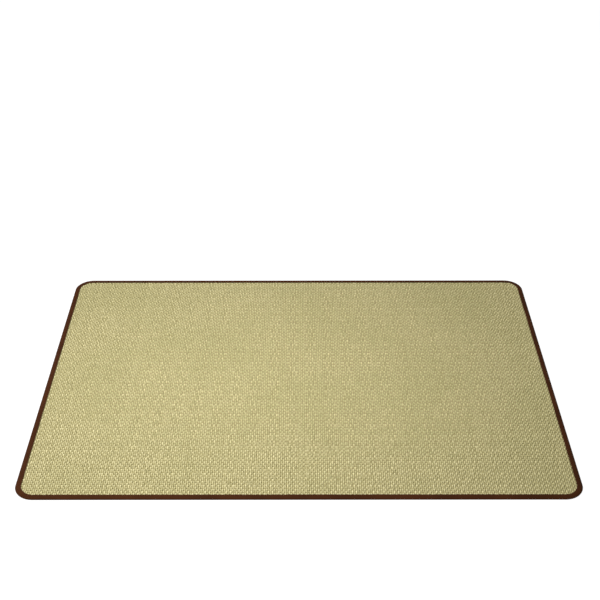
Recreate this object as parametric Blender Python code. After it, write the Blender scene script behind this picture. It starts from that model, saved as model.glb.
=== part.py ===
"""A bound tatami mat lying flat on the floor.

The mat is one woven rush sheet with rounded corners. A folded cloth tape wraps its whole
edge, over the top, round the outside and under the bottom, and squeezes the rim thinner.

Metres, +Z up. The origin is the middle of the underside, on the floor. +X runs along the
long side, and +Y across.
"""

import math

import bmesh
import bpy

# Driving dimensions
MAT_LENGTH = 2.000
MAT_WIDTH = 1.400
CORNER_RADIUS = 0.073
BOUND_THICKNESS = 0.0074
RUSH_THICKNESS = 0.0070
TAPE_WIDTH = 0.0210
TAPE_THICKNESS = 0.0012
CLEARANCE = 0.00035

# How the tape folds and how the sheet runs in under it
FOLD_RADIUS = 0.0026
LIP_RADIUS = 0.0006
RIM_SLOPE = 0.0026

# Smoothness of the round stretches
CORNER_STEPS = 16
FOLD_STEPS = 5
LIP_STEPS = 2

# Colours, as linear light, with how matt each cloth is
RUSH_COLOUR = (0.52, 0.46, 0.22)
RUSH_ROUGHNESS = 0.75
TAPE_COLOUR = (0.085, 0.032, 0.014)
TAPE_ROUGHNESS = 0.85


def clear_scene():
    """Removes every object that the startup file holds."""
    for obj in list(bpy.data.objects):
        bpy.data.objects.remove(obj)


def cloth_material(name, colour, roughness):
    """A matt cloth of one colour."""
    material = bpy.data.materials.new(name)
    material.use_nodes = True
    shader = material.node_tree.nodes["Principled BSDF"]
    shader.inputs["Base Color"].default_value = (*colour, 1.0)
    shader.inputs["Roughness"].default_value = roughness
    shader.inputs["Metallic"].default_value = 0.0
    return material


def arc(centre, radius, start_deg, end_deg, steps):
    """Points on a circle round centre, from one angle to the other, both ends included."""
    angles = [start_deg + (end_deg - start_deg) * i / steps for i in range(steps + 1)]
    return [
        (
            centre[0] + radius * math.cos(math.radians(angle)),
            centre[1] + radius * math.sin(math.radians(angle)),
        )
        for angle in angles
    ]


def outline(inset):
    """The mat's rounded rectangle, drawn in by inset, anticlockwise from above."""
    radius = CORNER_RADIUS - inset
    half_length = MAT_LENGTH / 2 - CORNER_RADIUS
    half_width = MAT_WIDTH / 2 - CORNER_RADIUS
    corners = [
        (half_length, half_width, 0),
        (-half_length, half_width, 90),
        (-half_length, -half_width, 180),
        (half_length, -half_width, 270),
    ]
    points = []
    for x, y, start in corners:
        points += arc((x, y), radius, start, start + 90, CORNER_STEPS)
    return points


def ring_of(mesh, inset, height):
    """Adds the outline at one inset and height, and returns its vertices in order."""
    return [mesh.verts.new((x, y, height)) for x, y in outline(inset)]


def join_rings(mesh, first, second):
    """Fills the band between two rings that have the same number of points."""
    count = len(first)
    for i in range(count):
        j = (i + 1) % count
        mesh.faces.new((first[i], first[j], second[j], second[i]))


def finish_object(mesh, name, material):
    """Turns a closed bmesh into a named object with its faces out and round stretches smooth."""
    bmesh.ops.recalc_face_normals(mesh, faces=mesh.faces)
    data = bpy.data.meshes.new(name)
    mesh.to_mesh(data)
    mesh.free()
    data.shade_smooth()
    data.set_sharp_from_angle(angle=math.radians(35))
    data.materials.append(material)
    obj = bpy.data.objects.new(name, data)
    bpy.context.scene.collection.objects.link(obj)
    return obj


def rush_mat():
    """The woven sheet: flat above and below, with a thinner rim that sits inside the tape.

    Its side is a profile of inset and height, from the underside round to the top.
    """
    rim_low = TAPE_THICKNESS + CLEARANCE
    rim_high = BOUND_THICKNESS - rim_low
    rim_radius = FOLD_RADIUS - rim_low
    flat_inset = TAPE_WIDTH + CLEARANCE + RIM_SLOPE
    neck_inset = TAPE_WIDTH + CLEARANCE
    rim_below = arc((FOLD_RADIUS, FOLD_RADIUS), rim_radius, 270, 180, LIP_STEPS)
    rim_above = arc(
        (FOLD_RADIUS, BOUND_THICKNESS - FOLD_RADIUS), rim_radius, 180, 90, LIP_STEPS
    )
    profile = (
        [(flat_inset, 0.0), (neck_inset, rim_low)]
        + rim_below
        + rim_above
        + [(neck_inset, rim_high), (flat_inset, RUSH_THICKNESS)]
    )
    mesh = bmesh.new()
    rings = [ring_of(mesh, inset, height) for inset, height in profile]
    for lower, upper in zip(rings, rings[1:]):
        join_rings(mesh, lower, upper)
    mesh.faces.new(list(reversed(rings[0])))
    mesh.faces.new(rings[-1])
    material = cloth_material("woven_rush", RUSH_COLOUR, RUSH_ROUGHNESS)
    return finish_object(mesh, "rush_mat", material)


def tape_profile():
    """The folded tape cut across: a round-backed channel with its mouth towards the mat.

    Points are inset and height, all the way round, starting under the lower lip.
    """
    top = BOUND_THICKNESS
    lip_end = TAPE_WIDTH - LIP_RADIUS
    inner_low = TAPE_THICKNESS
    inner_high = top - TAPE_THICKNESS
    inner_radius = FOLD_RADIUS - TAPE_THICKNESS
    back_low = arc((FOLD_RADIUS, FOLD_RADIUS), FOLD_RADIUS, 270, 180, FOLD_STEPS)
    back_high = arc((FOLD_RADIUS, top - FOLD_RADIUS), FOLD_RADIUS, 180, 90, FOLD_STEPS)
    upper_lip = arc((lip_end, top - LIP_RADIUS), LIP_RADIUS, 90, 0, LIP_STEPS)
    throat_high = arc((FOLD_RADIUS, top - FOLD_RADIUS), inner_radius, 90, 180, LIP_STEPS)
    throat_low = arc((FOLD_RADIUS, FOLD_RADIUS), inner_radius, 180, 270, LIP_STEPS)
    lower_lip = arc((lip_end, LIP_RADIUS), LIP_RADIUS, 0, -90, LIP_STEPS)
    return (
        back_low
        + back_high
        + upper_lip
        + [(TAPE_WIDTH, inner_high)]
        + throat_high
        + throat_low
        + [(TAPE_WIDTH, inner_low)]
        + lower_lip
    )


def edge_binding():
    """One length of tape carried right round the mat, closed on itself."""
    mesh = bmesh.new()
    rings = [ring_of(mesh, inset, height) for inset, height in tape_profile()]
    for ring, following in zip(rings, rings[1:] + rings[:1]):
        join_rings(mesh, ring, following)
    material = cloth_material("binding_tape", TAPE_COLOUR, TAPE_ROUGHNESS)
    return finish_object(mesh, "edge_binding", material)


def build():
    """The whole mat: the woven sheet and the tape round its edge."""
    clear_scene()
    rush_mat()
    edge_binding()


build()
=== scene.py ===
import math

import bpy
import numpy as np
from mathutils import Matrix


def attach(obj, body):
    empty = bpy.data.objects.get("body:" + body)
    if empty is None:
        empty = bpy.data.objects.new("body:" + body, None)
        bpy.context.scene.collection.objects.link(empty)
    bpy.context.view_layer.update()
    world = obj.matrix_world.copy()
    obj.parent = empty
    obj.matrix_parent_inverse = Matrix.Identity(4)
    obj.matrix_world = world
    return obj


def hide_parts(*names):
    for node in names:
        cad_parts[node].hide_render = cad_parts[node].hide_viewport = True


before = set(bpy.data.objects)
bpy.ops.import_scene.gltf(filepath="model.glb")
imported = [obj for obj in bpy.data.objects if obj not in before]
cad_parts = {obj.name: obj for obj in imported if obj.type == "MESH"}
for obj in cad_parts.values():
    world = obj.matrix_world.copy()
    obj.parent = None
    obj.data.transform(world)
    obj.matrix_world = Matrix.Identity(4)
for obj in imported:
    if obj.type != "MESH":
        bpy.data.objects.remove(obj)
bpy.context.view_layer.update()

# The mat's sizes in metres, as in the solids
LENGTH = 2.000
WIDTH = 1.400
CORNER = 0.073
TAPE_TOP = 0.0074
RUSH_TOP = 0.0070
TAPE_WIDTH = 0.0210
TAPE_THICK = 0.0012

# The tape's outer half rolls down over the mat's rim, to a low outermost line, and turns under
ROLL_WIDTH = 0.0130
ROLL_FOOT = 0.0022
TURN_UNDER = 0.0034

# The weave: strands run front to back, over and under cross threads that run left to right
COLUMNS = 272
ROWS = 137
PITCH = LENGTH / COLUMNS
ROW = WIDTH / ROWS
STRAND_THICK = 0.0028
THREAD_THICK = 0.0014
HALF_WEB = 0.00012

# A strand's width on a float, and halfway down a dive between two cross threads
FLOAT_WIDTH = 1.03 * PITCH
DIVE_WIDTH = 0.84 * PITCH

# Stations along a strand, two for each cross thread
STATIONS = -WIDTH / 2 + np.arange(2 * ROWS + 1) * ROW / 2

# Strands in a run, after which two neighbours go the same way
RUN = 5

# How far apart a strand's darker stem ends lie
STEM_LENGTH = 0.0647

# Strands are made in this many groups, each of them one mesh
GROUPS = 5

# How far inside the outline the weave ends, within the tape's fold
WEAVE_INSET = 0.0058

# How far from its lip the tape's grip eases, and the share of the weave's height left under it
GRIP_EASE = 0.0030
GRIPPED = 0.45

# Chance in a strand, in metres: crossings shift along it, floats sink, and the whole strand
# sways in long waves and steps aside at each station
SHIFT = 0.0009
SHIFT_MOST = 0.0020
SINK_MOST = 0.0006
SWAY = 0.00028
SIDE_STEP = 0.00034

# Chance in a strand's width, as shares of it
STRAND_WIDTH_LUCK = 0.02
STATION_WIDTH_LUCK = 0.08
WIDTH_RANGE = (0.72, 1.26)

# The tape's steps along a long and a short side and round a corner, and its gathers there
SIDE_STEPS = (60, 42)
CORNER_STEPS = 40
GATHER_HEIGHT = 0.00016
GATHERS_PER_RADIAN = 46.0

# Strips in which the tape's length is laid out on its baking map
TAPE_STRIPS = 8

# The sewing: its inset, how far apart its stitches are, and half the length of one
SEWING_INSET = TAPE_WIDTH - 0.0032
STITCH_PITCH = 0.0066
HALF_STITCH = 0.0023

LUCK = np.random.default_rng(41)


def smooth_step(t):
    """Nought up to t = 0 and one from t = 1, with 3t squared less 2t cubed between."""
    t = np.clip(t, 0.0, 1.0)
    return t * t * (3.0 - 2.0 * t)


def inset_of(x, y):
    """How far a point lies inside the mat's outline.

    Along a side it is the distance to that side. In a corner's square it is the corner
    radius less the distance to the corner's centre.
    """
    ax = np.abs(x) - (LENGTH / 2 - CORNER)
    ay = np.abs(y) - (WIDTH / 2 - CORNER)
    side = CORNER - np.maximum(ax, ay)
    corner = CORNER - np.hypot(np.maximum(ax, 0), np.maximum(ay, 0))
    return np.where((ax > 0) & (ay > 0), corner, side)


def reach_along(across, half, other_half, inset):
    """How far a line at one place across the mat runs before it meets the outline.

    It is the half size less the inset. Beside a corner it is the corner's centre plus the
    chord of the inset circle at that place.
    """
    radius = CORNER - inset
    past = np.maximum(np.abs(across) - (other_half - CORNER), 0.0)
    chord = np.sqrt(np.maximum(radius**2 - past**2, 0.0))
    return half - CORNER + chord


def mesh_from(name, points, faces, sizes):
    """A mesh piece from points, its faces' points in a row, and each face's corner count."""
    mesh = bpy.data.meshes.new(name)
    mesh.vertices.add(len(points))
    mesh.vertices.foreach_set("co", np.ascontiguousarray(points, np.float32).ravel())
    mesh.loops.add(len(faces))
    mesh.loops.foreach_set("vertex_index", np.ascontiguousarray(faces, np.int32))
    starts = np.concatenate([[0], np.cumsum(sizes)[:-1]]).astype(np.int32)
    mesh.polygons.add(len(sizes))
    mesh.polygons.foreach_set("loop_start", starts)
    mesh.update(calc_edges=True)
    mesh.shade_smooth()
    piece = bpy.data.objects.new(name, mesh)
    bpy.context.scene.collection.objects.link(piece)
    return piece


def add_map(piece, name, corners):
    """Stores a UV map, one pair of numbers for each face corner."""
    layer = piece.data.uv_layers.new(name=name)
    layer.uv.foreach_set("vector", np.ascontiguousarray(corners, np.float32).ravel())


def add_tone(piece, name, values):
    """Stores one number for each point, for the material to read."""
    layer = piece.data.attributes.new(name, "FLOAT", "POINT")
    layer.data.foreach_set("value", np.ascontiguousarray(values, np.float32).ravel())


# Rush strands


def near_tape(x, y):
    """How free the weave is of the tape: nought under it, one from 3 mm inside its lip."""
    return smooth_step((inset_of(x, y) - TAPE_WIDTH + GRIP_EASE) / (2 * GRIP_EASE))


def squeeze(points):
    """Presses the weave together where the tape holds it.

    Heights are measured from the middle of the weave and multiplied by 0.45 under the tape, by
    one well inside it, and by a smooth step between.
    """
    free = near_tape(points[..., 0], points[..., 1])
    middle = TAPE_TOP / 2 + (RUSH_TOP / 2 - TAPE_TOP / 2) * free
    height = (points[..., 2] - RUSH_TOP / 2) * (GRIPPED + (1.0 - GRIPPED) * free)
    points[..., 2] = middle + height
    return points


def over_and_under():
    """One where a strand runs over a cross thread, and minus one where it runs under.

    The order is minus one to the power of strand number plus row number plus run number, so
    it alternates both ways and shifts between runs.
    """
    strand = np.arange(COLUMNS)[:, None]
    row = np.arange(ROWS)[None, :]
    return np.where((strand + row + strand // RUN) % 2 == 0, 1, -1)


ORDER = over_and_under()


def strand_points(columns):
    """Points of whole strands, as strand by station by corner by axis, their painted shade and
    ends.

    A strand's middle line is highest over a cross thread and lowest under one, with its
    mean height halfway between two threads. Its section is a flattened hexagon that is
    widest at the top or the bottom, and narrowest halfway down a dive. Widths, heights and
    places vary by chance from strand to strand and float to float. Each point's painted
    shade is 0.6 halfway down a dive, falling to nought on a float, and 0.9 more at both side
    edges: a darkening painted where the dives and the gaps between strands lie in shade.
    """
    x = -LENGTH / 2 + (columns + 0.5) * PITCH
    end = reach_along(x, WIDTH / 2, LENGTH / 2, WEAVE_INSET)
    y = np.clip(STATIONS[None, :], -end[:, None], end[:, None])
    count, length = y.shape

    place = (y + WIDTH / 2) / ROW - 0.5
    order = ORDER[columns]
    before = np.clip(np.floor(place).astype(int), 0, ROWS - 1)
    after = np.clip(before + 1, 0, ROWS - 1)
    share = np.clip(place - before, 0.0, 1.0)
    row = np.arange(count)[:, None]
    wave = order[row, before] * (1.0 - share) + order[row, after] * share
    on_float = np.abs(wave)
    free = np.abs(STATIONS)[None, :] < end[:, None] - ROW
    shift = SHIFT * LUCK.standard_normal((count, length))
    y = y + free * np.clip(shift, -SHIFT_MOST, SHIFT_MOST)

    wide = 1.0 + STRAND_WIDTH_LUCK * LUCK.standard_normal((count, 1))
    wide = wide + STATION_WIDTH_LUCK * LUCK.standard_normal((count, length))
    width = (DIVE_WIDTH + (FLOAT_WIDTH - DIVE_WIDTH) * on_float) * np.clip(wide, *WIDTH_RANGE)
    sink = SINK_MOST * LUCK.random((count, length)) ** 2
    height = wave * ((RUSH_TOP - STRAND_THICK) / 2 - sink)

    waves = LUCK.uniform(1.5, 5.0, (count, 1))
    start = LUCK.uniform(0.0, 2 * np.pi, (count, 1))
    sway = SWAY * np.sin(waves * 2 * np.pi * y / WIDTH + start)
    sway = sway + SIDE_STEP * LUCK.standard_normal((count, length))
    centre = x[:, None] + sway

    side = np.array([1.0, 0.56, -0.56, -1.0, -0.56, 0.56])
    rise = np.array([0.0, 1.0, 1.0, 0.0, -1.0, -1.0])
    points = np.empty((count, length, 6, 3))
    points[..., 0] = centre[..., None] + side * width[..., None] / 2
    points[..., 1] = y[..., None]
    points[..., 2] = RUSH_TOP / 2 + height[..., None] + rise * STRAND_THICK / 2
    # Painted shade: darker halfway down each dive and along each strand's side edges, where the
    # dives and the gaps between strands lie in shade
    painted_shade = 0.6 * (1.0 - on_float[..., None]) + 0.9 * (np.abs(side) == 1.0)
    return squeeze(points), painted_shade, end


def strand_map(joined, around):
    """Corners of the strands' baking map, in the order of their faces.

    Each strand has a strip as wide as its share of the group, each side of its section a
    part of that strip, and each step along it a share of the height. An end cap is one point.
    """
    count, steps = joined.shape
    row = np.arange(count)
    across = (row[:, None, None] + np.arange(around) / around) / count
    across = np.broadcast_to(across, (count, steps, around))
    along = np.broadcast_to((np.arange(steps) / steps)[None, :, None], across.shape)
    step_across = 1.0 / (around * count)
    step_along = 1.0 / steps
    near = np.stack([across, along], -1)
    offsets = ((0.0, 0.0), (0.0, step_along), (step_across, step_along), (step_across, 0.0))
    corners = np.stack([near + offset for offset in offsets], axis=3)[joined]
    cap_u = np.repeat((row + 0.5) / count, around)
    caps = [
        np.stack([cap_u, np.full(cap_u.size, v)], -1)
        for v in (step_along / 2, 1 - step_along / 2)
    ]
    return np.concatenate([corners.reshape(-1, 2), *caps])


def strand_tones(columns, length):
    """How pale the rush is at each station of each strand, for its colour.

    It is chance by strand, by float and by station, plus a cosine along the strand with dark
    stem ends at its troughs. Neighbours are half a wave apart, and every other run is deeper.
    """
    count = len(columns)
    strand_tone = LUCK.random((count, 1))
    float_tone = LUCK.random((count, ROWS + 1))
    floats = np.repeat(float_tone, 2, axis=1)[:, :length]
    place = np.arange(length) * ROW / 2
    turn = np.pi * (columns % 2)[:, None] + 0.3 * LUCK.standard_normal((count, 1))
    depth = 0.155 + 0.11 * np.where(columns // RUN % 2 == 0, 1.0, -1.0)[:, None]
    stem = depth * np.cos(2 * np.pi * place / STEM_LENGTH + turn)
    bends = LUCK.random((count, length))
    return 0.05 * strand_tone + 0.18 * floats + 0.22 * bends + 0.275 + stem


def strand_group(number):
    """Every fifth strand as one joined mesh, each strand closed at both ends.

    Its faces are the squares between two stations and two corners of the section, and a cap
    at each strand's first and last station.
    """
    columns = np.arange(number, COLUMNS, GROUPS)
    columns = columns[(columns > 0) & (columns < COLUMNS - 1)]
    points, painted_shade, end = strand_points(columns)
    used = np.abs(STATIONS)[None, :] < end[:, None] + ROW / 2
    count, length, around = points.shape[:3]

    index = np.full((count, length), -1)
    index[used] = np.arange(used.sum())
    ring = index[..., None] * around + np.arange(around)
    onward = np.roll(ring, -1, axis=2)
    joined = used[:, :-1] & used[:, 1:]
    sides = np.stack([ring[:, :-1], ring[:, 1:], onward[:, 1:], onward[:, :-1]], -1)[joined]
    first = used.argmax(1)
    last = length - 1 - used[:, ::-1].argmax(1)
    row = np.arange(count)
    near_cap = ring[row, first]
    far_cap = ring[row, last][:, ::-1]
    faces = np.concatenate([sides.ravel(), near_cap.ravel(), far_cap.ravel()])
    sizes = np.concatenate([np.full(sides.size // 4, 4), np.full(2 * count, around)])
    piece = mesh_from(f"rush_strands_{number + 1}", points[used].reshape(-1, 3), faces, sizes)
    add_map(piece, "OFBake", strand_map(joined, around))
    add_tone(piece, "tone", np.repeat(strand_tones(columns, length)[used], around))
    # Stores the painted shade of the dives and side edges, for the rush material to darken its
    # colour
    add_tone(piece, "painted_shade", painted_shade[used])
    return piece


# Cross threads


def cross_threads():
    """The layer of cotton threads that the strands are woven over, as one thin ribbed sheet.

    From front to back its height is a half circle over each thread and a thin web between
    threads. From left to right it runs straight to the weave's edge inside the tape, with
    stations close enough together there to follow the tape's squeeze.
    """
    radius = THREAD_THICK / 2
    beside = np.array([-1.0, -0.7, 0.0, 0.7, 1.0]) * radius
    bulge = np.sqrt(radius**2 - beside**2)
    rows = -WIDTH / 2 + (np.arange(ROWS) + 0.5) * ROW
    y = (rows[:, None] + beside).ravel()
    thick = np.maximum(np.tile(bulge, ROWS), HALF_WEB)
    keep = np.abs(y) < WIDTH / 2 - WEAVE_INSET
    y = y[keep]
    thick = thick[keep]
    end = reach_along(y, LENGTH / 2, WIDTH / 2, WEAVE_INSET)
    back_from_end = np.array([0.0, 0.0006, 0.0100, 0.0150, 0.0182, 0.0400])
    right = end[:, None] - back_from_end
    across = np.concatenate([-right, np.zeros((len(y), 1)), right[:, ::-1]], axis=1)
    top = np.empty((*across.shape, 3))
    top[..., 0] = across
    top[..., 1] = y[:, None]
    top[..., 2] = RUSH_TOP / 2 + thick[:, None]
    under = top.copy()
    under[..., 2] = RUSH_TOP / 2 - thick[:, None]
    lift = (TAPE_TOP / 2 - RUSH_TOP / 2) * (1.0 - near_tape(top[..., 0], top[..., 1]))
    top[..., 2] += lift
    under[..., 2] += lift

    upper = np.arange(across.size).reshape(across.shape)
    lower = upper + upper.size
    loop = np.concatenate([upper, lower[:, ::-1]], axis=1)
    onward = np.roll(loop, -1, axis=1)
    band = np.stack([loop[:-1], onward[:-1], onward[1:], loop[1:]], -1).reshape(-1, 4)
    front = np.stack([upper[0, :-1], lower[0, :-1], lower[0, 1:], upper[0, 1:]], -1)
    back = np.stack([upper[-1, 1:], lower[-1, 1:], lower[-1, :-1], upper[-1, :-1]], -1)
    faces = np.concatenate([band, front, back])
    points = np.concatenate([top.reshape(-1, 3), under.reshape(-1, 3)])
    piece = mesh_from("cross_threads", points, faces.ravel(), np.full(len(faces), 4))

    place = points[faces.ravel()]
    on_top = np.repeat((faces < upper.size).all(1), 4)
    u = place[:, 0] / LENGTH + 0.5
    v = (place[:, 1] / WIDTH + 0.5) / 2 + 0.5 * on_top
    add_map(piece, "OFBake", np.stack([u, v], -1))
    return piece


# Edge binding


def outline_path(inset, steps_side, steps_corner):
    """Points and outward directions round the mat at one inset, and the length run at each.

    Sides are straight runs of even steps and corners are quarter circles, anticlockwise
    from the back of the right side.
    """
    half_x = LENGTH / 2 - CORNER
    half_y = WIDTH / 2 - CORNER
    radius = CORNER - inset
    centres = np.array([[half_x, half_y], [-half_x, half_y], [-half_x, -half_y], [half_x, -half_y]])
    places, ways = [], []
    for number, centre in enumerate(centres):
        start = 90 * number
        turn = np.radians(start + 90 * np.arange(steps_corner) / steps_corner)
        way = np.stack([np.cos(turn), np.sin(turn)], -1)
        places.append(centre + radius * way)
        ways.append(way)
        straight = math.radians(start + 90)
        outward = np.array([math.cos(straight), math.sin(straight)])
        steps = steps_side[number % 2]
        share = (np.arange(steps) / steps)[:, None]
        from_point = centre + radius * outward
        to_point = centres[(number + 1) % 4] + radius * outward
        places.append(from_point + (to_point - from_point) * share)
        ways.append(np.repeat(outward[None], steps, 0))
    place = np.concatenate(places)
    way = np.concatenate(ways)
    gaps = np.linalg.norm(np.roll(place, -1, 0) - place, axis=1)
    run = np.concatenate([[0.0], np.cumsum(gaps)])
    return place, way, run


def tape_section():
    """The folded tape cut across, as insets and heights all the way round.

    Its outside is a wide quarter ellipse over the mat's rim and a small one under it, then a
    low crown, a dip where the sewing pulls the tape down and a lip. Its inside is each
    outside point, moved inwards across the cloth by its thickness.
    """
    turn = np.radians(np.array([16, 32, 48, 62, 76, 90]))
    upper_inset = ROLL_WIDTH * (1 - np.cos(turn))
    upper_height = ROLL_FOOT + (TAPE_TOP - ROLL_FOOT) * np.sin(turn)
    turn = np.radians(np.array([90, 66, 43, 21, 0]))
    lower_inset = TURN_UNDER * (1 - np.cos(turn))
    lower_height = ROLL_FOOT * (1 - np.sin(turn))
    insets = TAPE_WIDTH - np.array([72, 52, 36, 28, 15, 6, 1, 0]) * 0.0001
    crown = np.array([10, -6, -40, -42, -12, -16, -50, -92]) * 0.00001
    face = np.stack([insets, TAPE_TOP + crown], -1)
    under = np.stack([insets, np.maximum(-crown, 0.0)], -1)[::-1]
    upper_fold = np.stack([upper_inset, upper_height], -1)
    lower_fold = np.stack([lower_inset, lower_height], -1)
    outside = np.concatenate([under, lower_fold, upper_fold, face])
    along = np.gradient(outside, axis=0)
    inward = np.stack([along[:, 1], -along[:, 0]], -1)
    inward = inward / np.linalg.norm(inward, axis=1, keepdims=True)
    inside = outside + TAPE_THICK * inward
    inside[:, 0] = np.minimum(inside[:, 0], TAPE_WIDTH - 0.0003)
    return np.concatenate([outside, inside[2:-2:2][::-1]])[::-1]


def tape_maps(piece, section, run):
    """Adds the cloth's own map, in metres, and the baking map, its length in eight strips.

    The cloth's map is the length run along the outline by the girth run round the section.
    """
    count = len(run) - 1
    around = len(section)
    steps = np.linalg.norm(np.roll(section, -1, 0) - section, axis=1)
    girth = np.concatenate([[0.0], np.cumsum(steps)])
    u0 = np.broadcast_to(run[:-1, None], (count, around))
    u1 = np.broadcast_to(run[1:, None], (count, around))
    v0 = np.broadcast_to(girth[None, :-1], (count, around))
    v1 = np.broadcast_to(girth[None, 1:], (count, around))
    corners = [np.stack(pair, -1) for pair in ((u0, v0), (u0, v1), (u1, v1), (u1, v0))]
    cloth = np.stack(corners, axis=2)
    add_map(piece, "tape_cloth", cloth)
    strip = np.floor(u0 / run[-1] * TAPE_STRIPS)[:, :, None]
    packed = np.empty_like(cloth)
    packed[..., 0] = (cloth[..., 0] / run[-1] * TAPE_STRIPS - strip) * 0.985 + 0.006
    packed[..., 1] = (strip + 0.03 + 0.94 * cloth[..., 1] / girth[-1]) / TAPE_STRIPS
    add_map(piece, "OFBake", packed)


def edge_tape():
    """The tape's section carried round the outline, with small gathers at the corners.

    A point is the outline at that inset, at the section's height. On the corners the faces
    rise and fall by a sine of the angle, most at the inner lip, where the cloth is in excess.
    All along, the upper face rises and falls and the inner edge wanders by slow sines.
    """
    section = tape_section()
    rings = []
    for inset, height in section:
        place = outline_path(inset, SIDE_STEPS, CORNER_STEPS)[0]
        rings.append(np.concatenate([place, np.full((len(place), 1), height)], 1))
    points = np.stack(rings, 1)
    _, way, run = outline_path(0.0, SIDE_STEPS, CORNER_STEPS)

    at = run[:-1]
    angle = np.arctan2(way[:, 1], way[:, 0])
    gather = np.sin(angle * GATHERS_PER_RADIAN) * np.abs(np.sin(2 * angle)) ** 0.5
    slow = 0.00009 * np.sin(at * 41.0) + 0.00007 * np.sin(at * 97.0 + 1.3)
    wander = 0.00022 * np.sin(at * 23.0 + 0.6) + 0.00015 * np.sin(at * 61.0)
    upper = section[:, 1] > TAPE_TOP - 0.0010
    reach = smooth_step((section[:, 0] - 0.004) / 0.014) * upper
    lip = smooth_step((section[:, 0] - TAPE_WIDTH + 0.0075) / 0.006)
    points[..., 2] += (GATHER_HEIGHT * gather + slow)[:, None] * reach[None, :]
    points[..., :2] -= way[:, None, :] * (wander[:, None] * lip[None, :])[..., None]

    count, around = points.shape[:2]
    ring = np.arange(count * around).reshape(count, around)
    onward = np.roll(ring, -1, axis=1)
    after = np.roll(ring, -1, axis=0)
    after_onward = np.roll(after, -1, axis=1)
    faces = np.stack([ring, onward, after_onward, after], -1).reshape(-1, 4)
    sizes = np.full(len(faces), 4)
    piece = mesh_from("edge_binding_tape", points.reshape(-1, 3), faces.ravel(), sizes)
    tape_maps(piece, section, run)
    return piece


def sewing():
    """Stitches of brown thread along the tape's inner edge, on both faces, as one mesh.

    Each stitch is a three-sided tube along the outline at the sewing's inset, thinner and
    lower at both ends, so that they sink into the cloth.
    """
    place, way, run = outline_path(SEWING_INSET, (72, 50), 44)
    count = round(run[-1] / STITCH_PITCH)
    share = np.array([-1.0, -0.55, 0.55, 1.0])
    at = (np.arange(count)[:, None] + 0.5) * (run[-1] / count) + share * HALF_STITCH
    closed = np.concatenate([place, place[:1]])
    closed_way = np.concatenate([way, way[:1]])
    thick = np.array([0.00008, 0.00024, 0.00024, 0.00008])[None, :, None]
    across = np.array([-1.0, 0.0, 1.0])
    rise = np.array([-0.6, 1.0, -0.6])
    points = np.empty((count, 4, 3, 3))
    for axis in (0, 1):
        middle = np.interp(at, run, closed[:, axis])
        outward = np.interp(at, run, closed_way[:, axis])
        points[..., axis] = middle[..., None] + outward[..., None] * across * thick
    points[..., 2] = rise * thick
    top = points.copy()
    top[..., 2] += TAPE_TOP - 0.00026 + np.array([-0.00018, 0.0, 0.0, -0.00018])[None, :, None]
    under = points.copy()
    under[..., 2] = 0.00030 - points[..., 2] + np.array([0.00014, 0.0, 0.0, 0.00014])[None, :, None]
    under = under[:, :, ::-1]
    both = np.concatenate([top, under])

    ring = np.arange(both[..., 0].size).reshape(2 * count, 4, 3)
    onward = np.roll(ring, -1, axis=2)
    sides = np.stack([ring[:, :-1], onward[:, :-1], onward[:, 1:], ring[:, 1:]], -1)
    caps = np.concatenate([ring[:, 0, ::-1], ring[:, -1]])
    faces = np.concatenate([sides.ravel(), caps.ravel()])
    sizes = np.concatenate([np.full(sides.size // 4, 4), np.full(len(caps), 3)])
    return mesh_from("sewing_thread", both.reshape(-1, 3), faces, sizes)


# Materials


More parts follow.
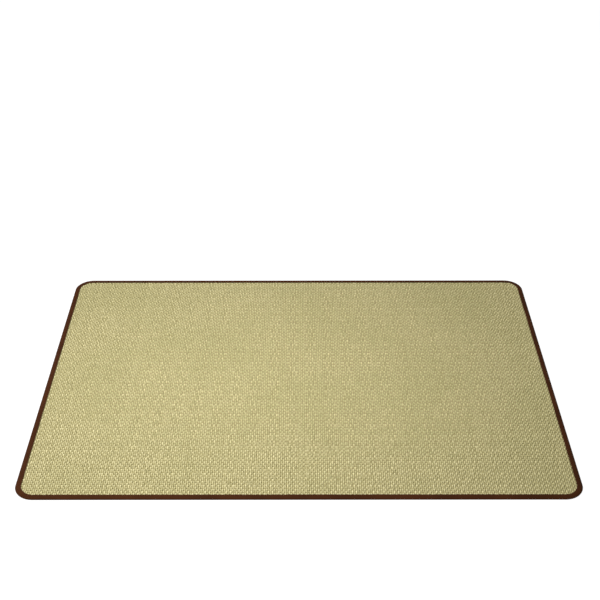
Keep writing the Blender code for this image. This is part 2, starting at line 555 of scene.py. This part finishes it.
class Nodes:
    """A short way to add and join the nodes of one material."""

    def __init__(self, name, roughness, specular=0.5):
        self.material = bpy.data.materials.new(name)
        self.material.use_nodes = True
        self.tree = self.material.node_tree
        self.shader = self.tree.nodes["Principled BSDF"]
        self.shader.inputs["Roughness"].default_value = roughness
        self.shader.inputs["Specular IOR Level"].default_value = specular

    def add(self, kind, **settings):
        """Adds a node and sets its properties."""
        node = self.tree.nodes.new(kind)
        for key, value in settings.items():
            setattr(node, key, value)
        return node

    def feed(self, value, socket):
        """Gives an input a socket to read, a colour or a number."""
        if isinstance(value, bpy.types.NodeSocket):
            self.tree.links.new(value, socket)
        elif isinstance(value, tuple):
            socket.default_value = (*value, 1.0)
        else:
            socket.default_value = value

    def place(self):
        """The place on the object, in metres."""
        return self.add("ShaderNodeTexCoord").outputs["Object"]

    def tone(self, name):
        """A number that the mesh holds for each point."""
        return self.add("ShaderNodeAttribute", attribute_name=name).outputs["Fac"]

    def math(self, operation, first, second=0.0):
        """One operation on two values, each a socket or a number."""
        node = self.add("ShaderNodeMath", operation=operation)
        self.feed(first, node.inputs[0])
        self.feed(second, node.inputs[1])
        return node.outputs[0]

    def blend(self, share, first, second, kind="MIX"):
        """A mix of two colours, each a socket or a colour."""
        node = self.add("ShaderNodeMix", data_type="RGBA", blend_type=kind)
        self.feed(share, node.inputs[0])
        self.feed(first, node.inputs[6])
        self.feed(second, node.inputs[7])
        return node.outputs[2]

    def noise(self, place, scale, detail=2.0, stretch=(1.0, 1.0, 1.0)):
        """Noise on a place, with the place multiplied along each axis first."""
        mapping = self.add("ShaderNodeMapping")
        mapping.inputs["Scale"].default_value = stretch
        self.feed(place, mapping.inputs["Vector"])
        node = self.add("ShaderNodeTexNoise")
        node.inputs["Scale"].default_value = scale
        node.inputs["Detail"].default_value = detail
        self.feed(mapping.outputs[0], node.inputs["Vector"])
        return node.outputs["Fac"]

    def spread(self, value, low, high, to_low=0.0, to_high=1.0):
        """Maps a value from one range to another, held at both ends."""
        node = self.add("ShaderNodeMapRange")
        self.feed(value, node.inputs["Value"])
        node.inputs["From Min"].default_value = low
        node.inputs["From Max"].default_value = high
        node.inputs["To Min"].default_value = to_low
        node.inputs["To Max"].default_value = to_high
        return node.outputs["Result"]

    def bump(self, height, distance, strength):
        """Joins a height to the shader's normal."""
        node = self.add("ShaderNodeBump")
        node.inputs["Distance"].default_value = distance
        node.inputs["Strength"].default_value = strength
        self.feed(height, node.inputs["Height"])
        self.feed(node.outputs["Normal"], self.shader.inputs["Normal"])

    def colour(self, value):
        """Joins a colour to the shader."""
        self.feed(value, self.shader.inputs["Base Color"])


def rush_material():
    """Dried rush: straw with a green cast, stalk lines along each strand, and painted shade in the
    dives and along the strands' side edges.
    """
    nodes = Nodes("woven_rush", 0.6, 0.3)
    place = nodes.place()
    lines = nodes.noise(place, 1.0, 3.0, (900.0, 22.0, 500.0))
    mottle = nodes.noise(place, 1.0, 1.0, (170.0, 120.0, 60.0))
    cloud = nodes.noise(place, 3.0)
    tone = nodes.math("MULTIPLY", nodes.tone("tone"), 0.7)
    shade = nodes.spread(nodes.math("ADD", tone, nodes.math("MULTIPLY", mottle, 0.6)), 0.35, 0.95)
    straw = nodes.blend(shade, (0.468, 0.424, 0.210), (0.875, 0.800, 0.468))
    green = nodes.blend(nodes.spread(cloud, 0.42, 0.62, 0.0, 0.18), straw, (0.46, 0.46, 0.20))
    lined = nodes.blend(nodes.spread(lines, 0.35, 0.65, 0.22, 0.0), green, (0.26, 0.22, 0.09))
    # Painted shade: the straw is multiplied darker where the mesh's painted shade number is high,
    # down the dives and along the side edges
    nodes.colour(nodes.blend(nodes.tone("painted_shade"), lined, (0.64, 0.61, 0.46), "MULTIPLY"))
    nodes.bump(lines, 0.0004, 0.6)
    return nodes.material


def thread_material():
    """Cross threads of twisted cotton, coloured the dull olive of the rush's own shadows: painted
    shade in the openings between floats.
    """
    nodes = Nodes("cross_thread_cotton", 0.9, 0.1)
    twist = nodes.noise(nodes.place(), 1.0, 1.0, (700.0, 500.0, 500.0))
    shade = nodes.spread(twist, 0.35, 0.65)
    # Painted shade: the threads are kept about as dark as the rush's shadows, so that the openings
    # between floats look shaded
    nodes.colour(nodes.blend(shade, (0.27, 0.232, 0.100), (0.38, 0.330, 0.152)))
    nodes.bump(twist, 0.0002, 0.5)
    return nodes.material


def tape_material():
    """Dark brown cotton tape in a fine plain weave, with worn paler fibres on its surface."""
    nodes = Nodes("binding_tape", 0.8, 0.08)
    nodes.shader.inputs["Sheen Weight"].default_value = 0.05
    nodes.shader.inputs["Sheen Roughness"].default_value = 0.35
    nodes.shader.inputs["Sheen Tint"].default_value = (1.0, 0.82, 0.66, 1.0)
    weave = nodes.add("ShaderNodeUVMap", uv_map="tape_cloth").outputs["UV"]
    thread_pitch = 0.0008
    threads = []
    for direction in ("X", "Y"):
        wave = nodes.add("ShaderNodeTexWave", wave_type="BANDS", bands_direction=direction)
        wave.inputs["Scale"].default_value = 2 * math.pi / (20 * thread_pitch)
        nodes.feed(0.0, wave.inputs["Distortion"])
        nodes.feed(weave, wave.inputs["Vector"])
        threads.append(wave.outputs["Fac"])
    cloth = nodes.math("MAXIMUM", *threads)
    place = nodes.place()
    fuzz = nodes.noise(place, 900.0)
    cloud = nodes.spread(nodes.noise(place, 9.0, 3.0), 0.35, 0.65)
    base = nodes.blend(cloud, (0.042, 0.0112, 0.0022), (0.060, 0.0168, 0.0036))
    worn = nodes.blend(nodes.spread(fuzz, 0.45, 0.75, 0.0, 0.35), base, (0.098, 0.033, 0.0100))
    gaps = nodes.spread(cloth, 0.0, 1.0, 0.30, 0.0)
    nodes.colour(nodes.blend(gaps, worn, (0.022, 0.0072, 0.0022)))
    nodes.bump(nodes.math("ADD", cloth, nodes.math("MULTIPLY", fuzz, 0.6)), 0.00018, 0.7)
    return nodes.material


def sewing_material():
    """Brown polyester sewing thread, a shade lighter than the tape, with a slight shine."""
    nodes = Nodes("sewing_thread", 0.5)
    twist = nodes.spread(nodes.noise(nodes.place(), 1800.0, 1.0), 0.35, 0.65)
    nodes.colour(nodes.blend(twist, (0.055, 0.022, 0.009), (0.11, 0.048, 0.022)))
    return nodes.material


def floor_material():
    """A white studio floor that also glows a little, so that it stays white to its edges."""
    nodes = Nodes("studio_floor", 0.9, 0.0)
    nodes.shader.inputs["Base Color"].default_value = (0.20, 0.20, 0.20, 1.0)
    nodes.shader.inputs["Emission Color"].default_value = (1.0, 1.0, 1.0, 1.0)
    nodes.shader.inputs["Emission Strength"].default_value = 0.93
    return nodes.material


# The mat

rush = rush_material()
strands = [strand_group(number) for number in range(GROUPS)]
for strand in strands:
    strand.data.materials.append(rush)
threads_layer = cross_threads()
threads_layer.data.materials.append(thread_material())
tape = edge_tape()
tape.data.materials.append(tape_material())
stitches = sewing()
stitches.data.materials.append(sewing_material())

for piece in strands + [threads_layer]:
    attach(piece, "root")
for piece in (tape, stitches):
    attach(piece, "root")
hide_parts("rush_mat")
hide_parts("edge_binding")


# The studio

# Half the floor's side
FLOOR_REACH = 30.0

# How strongly the white surroundings light the mat, where one would show as pure white
WORLD_LIGHT = 0.347

# Soft round lights: name, place, the point they face, width and power
LIGHTS = (
    ("over_light", (-0.19, -0.12, 1.49), (-0.19, -0.12, 0.0), 0.7, 10.5),
    ("fore_light", (-0.5, -0.7, 2.2), (-0.3, -0.2, 0.0), 1.2, 7.3),
    ("left_light", (-7.0, 0.5, 4.8), (0.0, 0.0, 0.0), 4.0, 225.0),
    ("near_left_light", (-2.8, -0.2, 3.1), (-0.5, 0.0, 0.0), 2.6, 72.0),
)

# The camera as the photograph's, with its lens in millimetres and its angles in degrees
LENS = 65.533
SENSOR = 36.0
CAMERA_PLACE = (0.0, -3.4614, 2.6916)
LOOKS_DOWN = 33.882
LOOKS_RIGHT = 0.068


def floor():
    """A flat white square, much wider than the view."""
    reach = FLOOR_REACH
    points = reach * np.array([[-1, -1, 0], [1, -1, 0], [1, 1, 0], [-1, 1, 0]])
    piece = mesh_from("floor", points, np.arange(4), np.array([4]))
    piece.data.materials.append(floor_material())


def soft_light(name, place, aim, size, power):
    """A round area light, turned to face a point."""
    light = bpy.data.lights.new(name, "AREA")
    light.shape = "DISK"
    light.size = size
    light.energy = power
    lamp = bpy.data.objects.new(name, light)
    lamp.location = place
    away = np.array(place) - np.array(aim)
    tilt = math.atan2(math.hypot(away[0], away[1]), away[2])
    lamp.rotation_euler = (tilt, 0.0, math.atan2(away[0], -away[1]))
    bpy.context.scene.collection.objects.link(lamp)


def surroundings():
    """White all round: pure white to the camera, and weaker as light on the mat."""
    world = bpy.data.worlds.new("studio")
    world.use_nodes = True
    tree = world.node_tree
    background = tree.nodes["Background"]
    background.inputs["Color"].default_value = (1.0, 1.0, 1.0, 1.0)
    seen = tree.nodes.new("ShaderNodeLightPath").outputs["Is Camera Ray"]
    strength = tree.nodes.new("ShaderNodeMath")
    strength.operation = "MULTIPLY_ADD"
    tree.links.new(seen, strength.inputs[0])
    strength.inputs[1].default_value = 1.0 - WORLD_LIGHT
    strength.inputs[2].default_value = WORLD_LIGHT
    tree.links.new(strength.outputs[0], background.inputs["Strength"])
    bpy.context.scene.world = world
    bpy.context.scene.view_settings.view_transform = "Standard"


def camera():
    """A camera at the photograph's place and angle."""
    lens = bpy.data.cameras.new("camera")
    lens.lens = LENS
    lens.sensor_width = SENSOR
    viewer = bpy.data.objects.new("camera", lens)
    viewer.location = CAMERA_PLACE
    viewer.rotation_euler = (math.radians(90.0 - LOOKS_DOWN), 0.0, math.radians(-LOOKS_RIGHT))
    bpy.context.scene.collection.objects.link(viewer)
    bpy.context.scene.camera = viewer


floor()
for settings in LIGHTS:
    soft_light(*settings)
surroundings()
camera()
